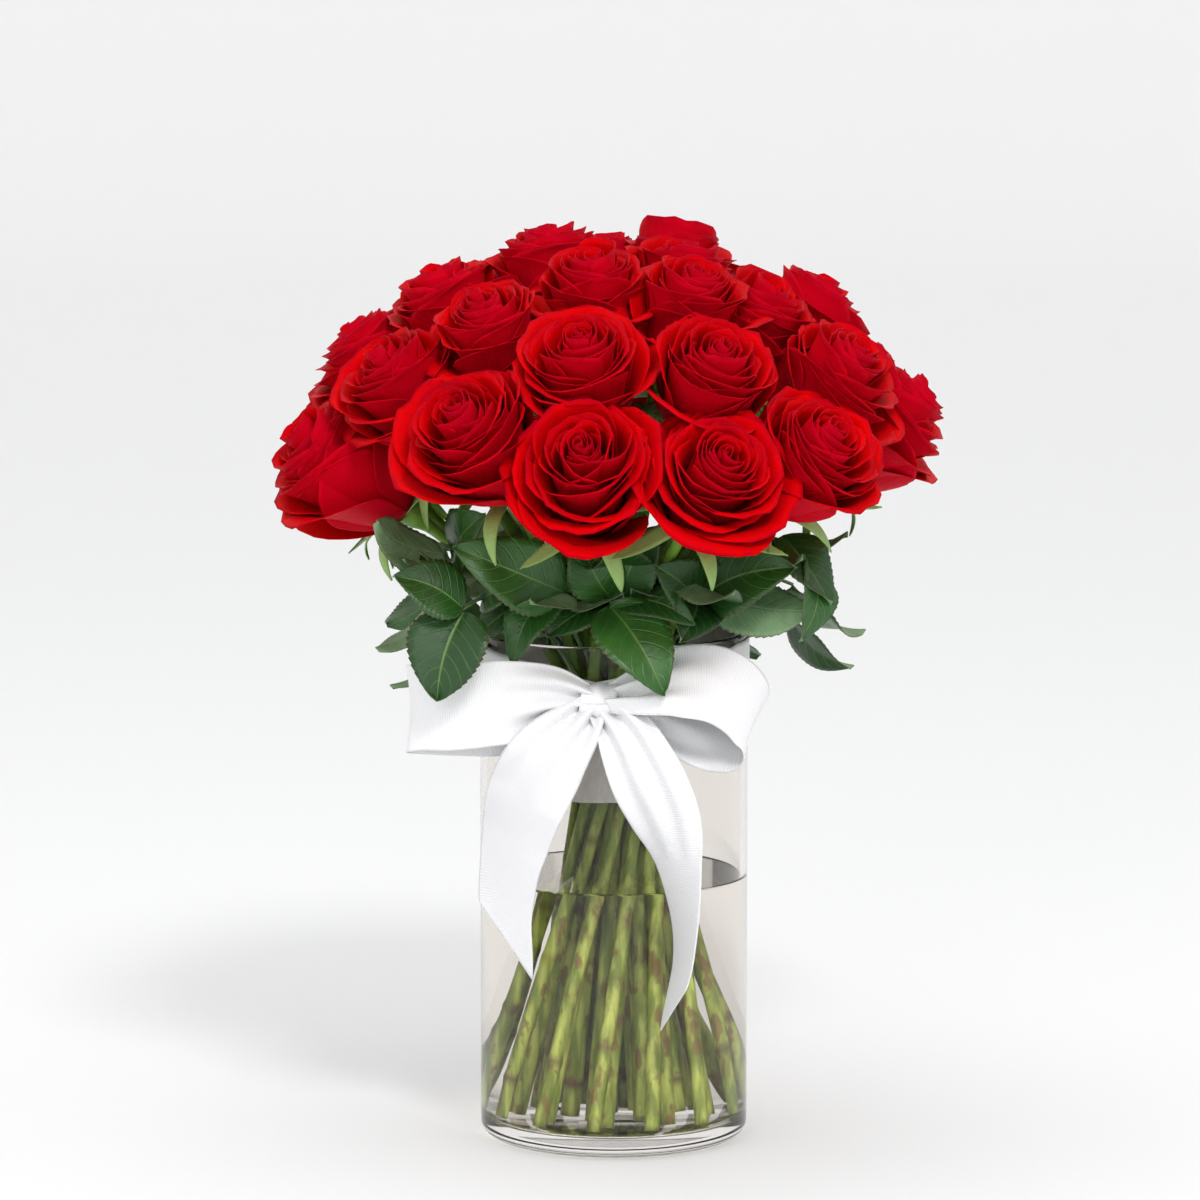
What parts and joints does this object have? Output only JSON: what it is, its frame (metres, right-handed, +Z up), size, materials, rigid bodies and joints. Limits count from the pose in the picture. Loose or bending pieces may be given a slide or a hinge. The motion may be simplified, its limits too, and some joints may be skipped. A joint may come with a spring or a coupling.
{
  "type": "roses in a vase",
  "caption": "Hand-tied dome of red roses with green leaves standing in water in a clear glass cylinder vase, with a white ribbon bow tied round the vase's neck.",
  "frame": {"origin": "middle of the vase's flat foot, on the surface that it stands on", "axes": "+Z up along the vase's axis, -Y towards the side where the bow is tied, +X to the right of someone who looks at the bow"},
  "size_m": [0.2981, 0.3045, 0.4122],
  "materials": {
    "petal": "matte",
    "stem": "satin",
    "leaf": "satin",
    "vase_glass": "polished",
    "water": "polished",
    "wrap": "matte",
    "ribbon": "satin"
  },
  "bodies": {
    "root": {"rose_head_01": "petal", "rose_head_02": "petal", "rose_head_03": "petal", "rose_head_04": "petal", "rose_head_05": "petal", "rose_head_06": "petal", "rose_head_07": "petal", "rose_head_08": "petal", "rose_head_09": "petal", "rose_head_10": "petal", "rose_head_11": "petal", "rose_head_12": "petal", "rose_head_13": "petal", "rose_head_14": "petal", "rose_head_15": "petal", "rose_head_16": "petal", "rose_head_17": "petal", "rose_head_18": "petal", "rose_head_19": "petal", "rose_head_20": "petal", "rose_head_21": "petal", "rose_head_22": "petal", "rose_head_23": "petal", "rose_head_24": "petal", "rose_head_25": "petal", "rose_stem_01": "stem", "rose_stem_02": "stem", "rose_stem_03": "stem", "rose_stem_04": "stem", "rose_stem_05": "stem", "rose_stem_06": "stem", "rose_stem_07": "stem", "rose_stem_08": "stem", "rose_stem_09": "stem", "rose_stem_10": "stem", "rose_stem_11": "stem", "rose_stem_12": "stem", "rose_stem_13": "stem", "rose_stem_14": "stem", "rose_stem_15": "stem", "rose_stem_16": "stem", "rose_stem_17": "stem", "rose_stem_18": "stem", "rose_stem_19": "stem", "rose_stem_20": "stem", "rose_stem_21": "stem", "rose_stem_22": "stem", "rose_stem_23": "stem", "rose_stem_24": "stem", "rose_stem_25": "stem", "leaf_01": "leaf", "leaf_02": "leaf", "leaf_03": "leaf", "leaf_04": "leaf", "leaf_05": "leaf", "leaf_06": "leaf", "vase": "vase_glass", "water": "water", "stem_wrap": "wrap", "ribbon": "ribbon"}
  },
  "joints": []
}
